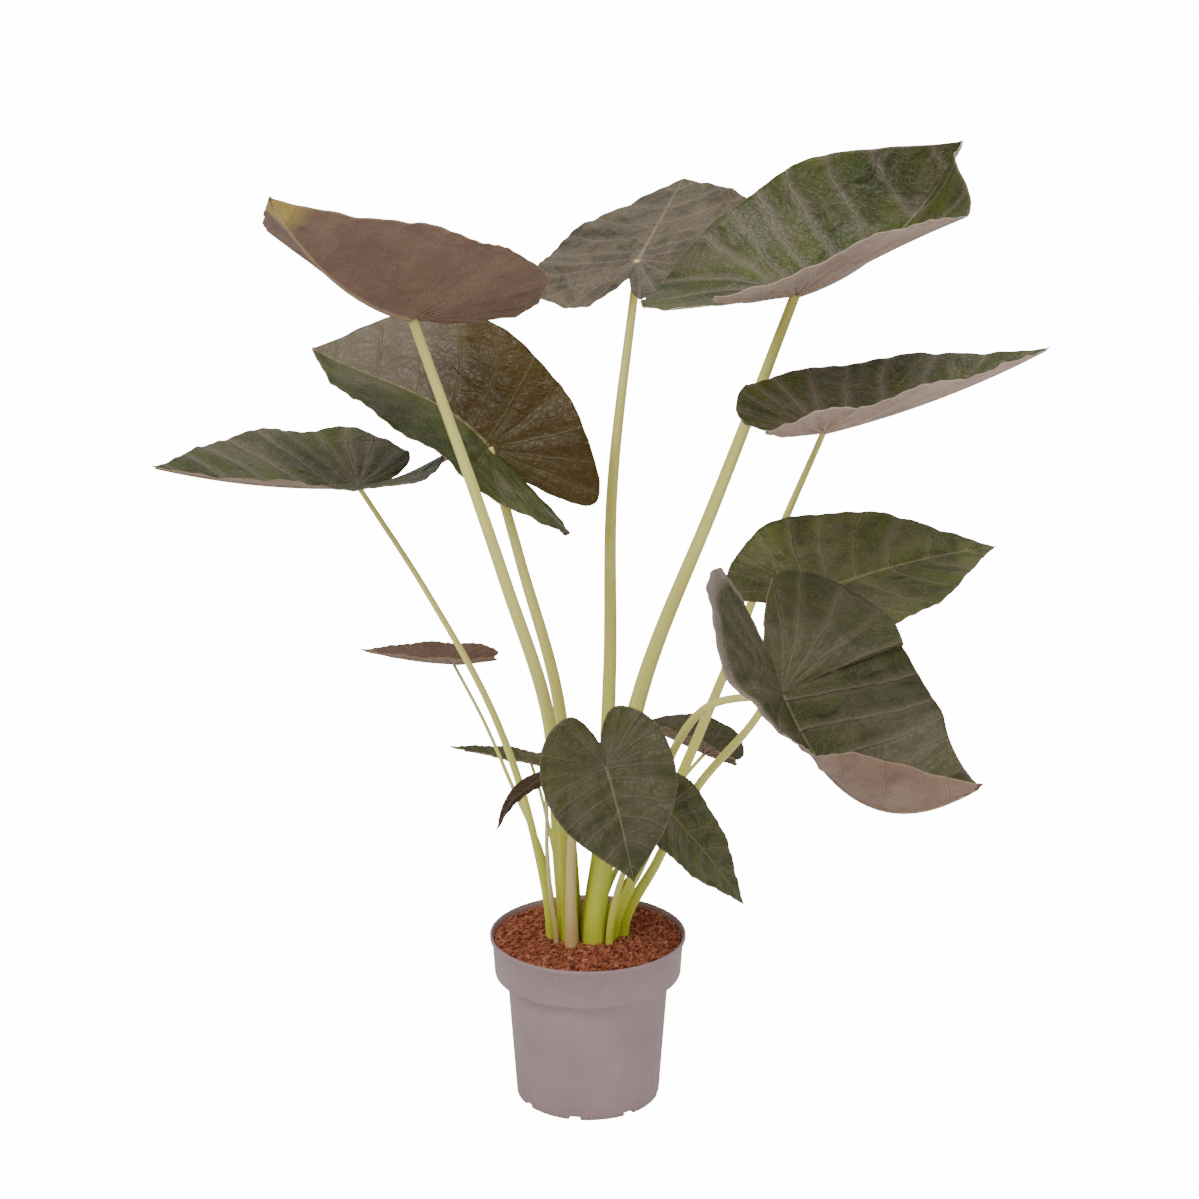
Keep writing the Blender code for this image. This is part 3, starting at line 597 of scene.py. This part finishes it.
# Its band inside the right margin is painted sheen
SHEEN_EDGED = leaf_face("waxy_leaf_sheen_edged", ("#363a17", "#4a4a24"), "#736a55", "#80765a", 0.40, "#5f5546",
                  lines=(0.22, 0.32), sheen_strip="#8f8076")
MAUVE = leaf_face("leaf_underside_mauve", ("#6e5448", "#7d6150"), "#8f7664", "#a89270", 0.6, "#846b5a",
                  lines=(0.14, 0.12), crumple=0.6, tip="#a8924c")
PINK = leaf_face("leaf_underside_pink", ("#7c6151", "#8e7363"), "#9c8672", "#a89070", 0.6, "#978074",
                 lines=(0.14, 0.12), crumple=0.5)
BLUSH = leaf_face("leaf_underside_blush", ("#b09484", "#c6ab9c"), "#bfa594", "#c4aa90", 0.6, "#b39c90",
                  lines=(0.14, 0.12), crumple=0.5)
DRY = leaf_face("dried_leaf", ("#3e2b20", "#54402f"), "#6a5542", "#76604a", 0.7, "#4a3a2e")

LOOKS = {
    "blade_top_left": (OLIVE, MAUVE), "blade_top_centre": (SHEEN_GREY, BLUSH), "blade_top_right": (GREEN, BLUSH),
    "blade_left_upper": (PAINTED_HALF, MAUVE), "blade_left_long": (GREEN, PINK),
    "blade_right_long": (GREEN, BLUSH), "blade_right_middle": (OLIVE, PINK),
    "blade_right_front": (SHEEN_EDGED, PINK), "blade_front_small": (BRONZE, MAUVE),
    "blade_front_low": (OLIVE, MAUVE), "blade_left_small": (MAUVE, PINK), "blade_left_low": (OLIVE, MAUVE),
    "blade_curled": (DRY, DRY), "blade_right_back": (BRONZE, MAUVE),
}

LIME_STALK = stalk_skin("petiole_lime", "#c4d03a", "#dcd672", "#dcd676")
CREAM_STALK = stalk_skin("petiole_cream", "#cfb074", "#d0bc78", "#d0c880")
POT_PLASTIC = moulded_polypropylene()
COIR = coconut_coir("coconut_coir", "#522618", "#a2583e", "#cc9270")
FIBRE = coconut_coir("coir_fibre", "#84502f", "#b3794f", "#d8ac84")


# Pieces

def mapped(name, columns, rows, place, wrap=False):
    """Sheet or tube: a grid whose points are moved to place(x, y), x and y each 0 to 1, with its map kept.

    place also gives the attributes of each point, and a tube has its seam merged and its ends filled.
    """
    bm = bmesh.new()
    bmesh.ops.create_grid(bm, x_segments=columns, y_segments=rows, size=1.0)
    uv = bm.loops.layers.uv.new("leaf")
    for face in bm.faces:
        for loop in face.loops:
            loop[uv].uv = ((loop.vert.co.x + 1) / 2, (loop.vert.co.y + 1) / 2)
    xy = np.array([v.co[:2] for v in bm.verts]) / 2 + 0.5
    points, marks = place(xy[:, 0], xy[:, 1])
    layers = {key: bm.verts.layers.float.new(key) for key in marks}
    for i, v in enumerate(bm.verts):
        v.co = points[i]
        for key, layer in layers.items():
            v[layer] = float(marks[key][i])
    bmesh.ops.remove_doubles(bm, verts=bm.verts[:], dist=0.03 * MM)
    if wrap:
        bmesh.ops.holes_fill(bm, edges=[e for e in bm.edges if e.is_boundary], sides=0)
    bmesh.ops.recalc_face_normals(bm, faces=bm.faces[:])
    mesh = bpy.data.meshes.new(name)
    bm.to_mesh(mesh)
    bm.free()
    mesh.shade_smooth()
    return mesh


def show(name, mesh, materials, node):
    """Puts a finished mesh in the scene, riding on the plant in place of its node."""
    for material in materials:
        mesh.materials.append(material)
    piece = bpy.data.objects.new(name, mesh)
    bpy.context.scene.collection.objects.link(piece)
    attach(piece, "root")
    if node:
        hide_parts(node)
    return piece


def make_blade(node, blade):
    """Blade with its veins sunk above and raised below, and a rib that stands out underneath."""
    small = blade.width < SMALL_WIDTH
    columns, rows = SMALL_BLADE_GRID if small else BLADE_GRID
    size = blade.width / USUAL_WIDTH

    def place(x, y):
        side = np.where(x < 0.5, -1.0, 1.0)
        u = np.abs(2 * x - 1) ** 1.25
        g = 2 * y - 1
        flat = blade.point(side, g, u)
        root = blade.point(side, g, u * 0)
        # Millimetres between veins, from two points a little apart on this line
        before, after = np.maximum(g - 0.004, -1.0), np.minimum(g + 0.004, 1.0)
        apart = np.linalg.norm(blade.point(side, after, u) - blade.point(side, before, u), axis=-1)
        span = apart / (after - before) * 2 / VEINS / MM
        off_rib = np.linalg.norm(flat - root, axis=-1) / MM
        along = np.linalg.norm(root - blade.joint, axis=-1) / blade.length
        rib_width = RIB_WIDTH * (1 - 0.75 * along) * size ** 0.7
        forward = smooth(-0.10, 0.06, g)
        rib = np.where(forward > 0, off_rib / rib_width / np.maximum(forward, 0.05), 9.0)
        to_edge = np.linalg.norm(blade.point(side, g, u * 0 + 1) - flat, axis=-1) / MM
        part = np.abs((y * VEINS) % 1.0 - 0.5) * span
        vein = np.exp(-(part / VEIN_WIDTH) ** 2) * (1 - 0.6 * u) * smooth(0.0, 0.12, u)
        ribbed = np.exp(-(off_rib / rib_width) ** 2) * smooth(-0.06, 0.04, g) * (1 - 0.7 * along)
        frill = FRILL * u ** 3 * np.sin(math.tau * (11.3 * g + 0.17 * side)) * smooth(1.0, 0.9, g)
        sunk = VEIN_SINK * vein + RIB_SINK * ribbed * (not small)
        top = 0.5 * BLADE_THICKNESS + (frill - sunk) * MM
        thick = BLADE_THICKNESS / MM + VEIN_SWELL * vein + RIB_DEPTH * ribbed * size
        marks = {"span": span, "rib": np.minimum(rib, 9.0), "edge": np.minimum(to_edge, 30.0),
                 "thick": thick / MOST_THICK}
        return blade.point(side, g, u, top), marks

    mesh = mapped(node + "_leaf", columns, rows, place)
    thick = [a.value for a in mesh.attributes["thick"].data]
    mesh.attributes.remove(mesh.attributes["thick"])
    face = mesh.polygons[len(mesh.polygons) // 2]
    _, up = blade.frame(np.array([0.5]))
    if Vector(up[0]).dot(face.normal) < 0:
        mesh.flip_normals()
    piece = show(node + "_leaf", mesh, LOOKS[node], node)
    group = piece.vertex_groups.new(name="thick")
    for i, value in enumerate(thick):
        group.add([i], value, "REPLACE")
    solid = piece.modifiers.new("thickness", "SOLIDIFY")
    solid.thickness = MOST_THICK * MM
    solid.offset = -1
    solid.vertex_group = "thick"
    solid.material_offset = 1
    solid.material_offset_rim = 1


def stalk_line(name):
    """Centre line of a stalk as a function, with its radii, from the buried stem to its blade."""
    stalk, blade = STALKS[name], BLADES["blade_" + name]
    upright = (STEM_TOP + 0.3 * MM, SOIL_TOP - 12 * MM, SOIL_TOP + 3 * MM)
    points = [vec(stalk.foot[0] * MM, stalk.foot[1] * MM, z) for z in upright]
    points = np.array(points + [vec(*p) * MM for p in stalk.through] + [blade.joint])
    run = np.concatenate(([0.0], np.cumsum(np.linalg.norm(np.diff(points, axis=0), axis=1))))
    run /= run[-1]
    knots = (0.0, run[2], run[3], run[4], 1.0)
    sizes = np.array((stalk.radii[0],) + stalk.radii) * MM

    def at(t):
        return np.stack([spline(run, points[:, k], t) for k in range(3)], -1)

    return at, lambda t: spline(knots, sizes, t)


def make_stalk(name):
    """Petiole: round above, with the two thin margins of its sheath on the inner side lower down."""
    stalk = STALKS[name]
    at, radius = stalk_line(name)
    columns, rows = THIN_STALK_GRID if stalk.radii[0] < THIN_STALK_RADIUS else STALK_GRID
    last = 1.0 - STALK_GAP / np.linalg.norm(at(np.array([1.0])) - at(np.array([0.0])))

    def place(x, y):
        t = y * last
        centre = at(t)
        heading = unit(at(t + 0.002) - at(t - 0.002))
        across = unit(np.cross(heading, vec(0, 1, 0)) * -1.0)
        ahead = np.cross(heading, across)
        squash = stalk.flat + (1.0 - stalk.flat) * smooth(0.0, 0.45, t)
        inward = math.atan2(-stalk.foot[1] - 3, -stalk.foot[0])
        angle = math.tau * x
        turn = (angle - inward + math.pi) % math.tau - math.pi
        low = smooth(*SHEATH_END, t) * smooth(0.02, 0.06, t)
        margins = sum(np.exp(-((turn + m) / MARGIN_WIDTH) ** 2) for m in (-MARGIN_TURN, MARGIN_TURN))
        groove = np.exp(-(turn / GROOVE_WIDTH) ** 2)
        rings = (0.010 * np.sin(math.tau * 9 * x)
                 + 0.02 * np.sin(17 * t + 3 * x * math.tau) * smooth(0, 0.3, t))
        r = radius(t) * (1.0 + low * (MARGIN_RISE * margins - GROOVE_SINK * groove) + rings)
        out = (np.cos(angle) * r)[:, None] * across + (np.sin(angle) * r * squash)[:, None] * ahead
        return centre + out, {}

    node = "stalk_" + name
    mesh = mapped(node + "_skin", columns, rows, place, wrap=True)
    skin, slot = (CREAM_STALK, "stalk_cream") if name in PALE_STALKS else (LIME_STALK, "stalk_lime")
    show(node + "_skin", mesh, [skin], node)


def merged_copy(node, name, sharp):
    """Smooth-shaded copy of a solid, its loose triangles joined."""
    bm = bmesh.new()
    bm.from_mesh(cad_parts[node].data)
    bmesh.ops.remove_doubles(bm, verts=bm.verts[:], dist=0.01 * MM)
    mesh = bpy.data.meshes.new(name)
    bm.to_mesh(mesh)
    bm.free()
    mesh.shade_smooth()
    mesh.set_sharp_from_angle(angle=math.radians(sharp))
    return mesh


def soil_height(x, y):
    """Top of the soil over a spot, in metres: lumpy, and level round the stalks."""
    lumps = (0.9 * math.sin(330 * x + 1.2 * math.sin(210 * y))
             + 0.7 * math.sin(410 * y + 1.1 * math.sin(270 * x + 2.0)) - 0.4)
    return SOIL_TOP + MM * lumps * float(smooth(0.040, 0.055, math.hypot(x, y)))


def gathered(name, lots, build):
    """One mesh out of many small lots, each built in a mesh of its own."""
    whole = bmesh.new()
    for _ in range(lots):
        bm = bmesh.new()
        build(bm)
        lot = bpy.data.meshes.new("lot")
        bm.to_mesh(lot)
        bm.free()
        whole.from_mesh(lot)
        bpy.data.meshes.remove(lot)
    mesh = bpy.data.meshes.new(name)
    whole.to_mesh(mesh)
    whole.free()
    return mesh


def make_crumbs():
    """Loose coir crumbs over the whole top, as squashed many-sided lumps 1 to 5 mm across."""
    draw = random.Random(11)
    feet = [(s.foot[0] * MM, s.foot[1] * MM, s.radii[0] * MM) for s in STALKS.values()]

    def build(bm):
        made = 0
        while made < CRUMB_LOT:
            r, turn = SOIL_RADIUS * math.sqrt(draw.random()), math.tau * draw.random()
            x, y = r * math.cos(turn), r * math.sin(turn)
            size = draw.choice(CRUMB_RADII) * MM
            if r + size > SOIL_RADIUS or any(math.hypot(x - a, y - b) < c for a, b, c in feet):
                continue
            axis = Vector([draw.uniform(-1, 1) for _ in range(3)]).normalized()
            spin = Matrix.Rotation(math.tau * draw.random(), 4, axis)
            squash = [draw.uniform(0.7, 1.5), draw.uniform(0.6, 1.1), draw.uniform(0.45, 0.9)]
            shape = Matrix.Diagonal(squash + [1.0])
            lift = draw.uniform(-0.2, 0.9) * size
            place = Matrix.Translation((x, y, soil_height(x, y) + lift)) @ spin @ shape
            bmesh.ops.create_icosphere(bm, subdivisions=1, radius=size, matrix=place)
            made += 1
        for v in bm.verts:
            v.co += noise.noise_vector(v.co * 900) * 0.45 * MM

    show("soil_crumbs", gathered("soil_crumbs", CRUMBS // CRUMB_LOT, build), [COIR], None)


def make_fibres():
    """Short bent coir fibres lying on the crumbs, each a three-sided strand."""
    draw = random.Random(5)

    def build(bm):
        r, turn = (SOIL_RADIUS - 9 * MM) * math.sqrt(draw.random()), math.tau * draw.random()
        x, y = r * math.cos(turn), r * math.sin(turn)
        heading, bend = math.tau * draw.random(), draw.uniform(-0.5, 0.5)
        thick, step = draw.uniform(0.12, 0.28) * MM, draw.uniform(1.2, 3.0) * MM
        rise = draw.uniform(0.4, 2.0) * MM
        ring = bmesh.ops.create_circle(bm, segments=3, radius=thick, cap_ends=False)["verts"]
        turned = Matrix.Translation((x, y, soil_height(x, y) + rise)) @ Matrix.Rotation(heading, 4, "Z")
        bmesh.ops.transform(bm, matrix=turned @ Matrix.Rotation(math.pi / 2, 4, "Y"), verts=ring)
        edges = list({e for v in ring for e in v.link_edges})
        for _ in range(FIBRE_LENGTHS):
            heading += bend
            grown = bmesh.ops.extrude_edge_only(bm, edges=edges)["geom"]
            verts = [g for g in grown if isinstance(g, bmesh.types.BMVert)]
            edges = [g for g in grown if isinstance(g, bmesh.types.BMEdge)
                     and all(v in verts for v in g.verts)]
            drop = (soil_height(x, y) - SOIL_TOP) * 0.1
            x, y = x + step * math.cos(heading), y + step * math.sin(heading)
            move = (step * math.cos(heading), step * math.sin(heading), draw.uniform(-0.3, 0.3) * MM - drop)
            bmesh.ops.translate(bm, verts=verts, vec=move)
        bmesh.ops.holes_fill(bm, edges=[e for e in bm.edges if e.is_boundary], sides=3)
        bmesh.ops.recalc_face_normals(bm, faces=bm.faces[:])

    mesh = gathered("soil_fibres", FIBRES, build)
    mesh.shade_smooth()
    show("soil_fibres", mesh, [FIBRE], None)


for node, blade in BLADES.items():
    make_blade(node, blade)
for name in STALKS:
    make_stalk(name)
show("pot_moulding", merged_copy("pot", "pot_moulding", 30), [POT_PLASTIC], "pot")
show("soil_body", merged_copy("soil", "soil_body", 60), [COIR], "soil")
make_crumbs()
make_fibres()
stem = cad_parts["buried_stem"]
stem.data.materials.clear()
stem.data.materials.append(CREAM_STALK)
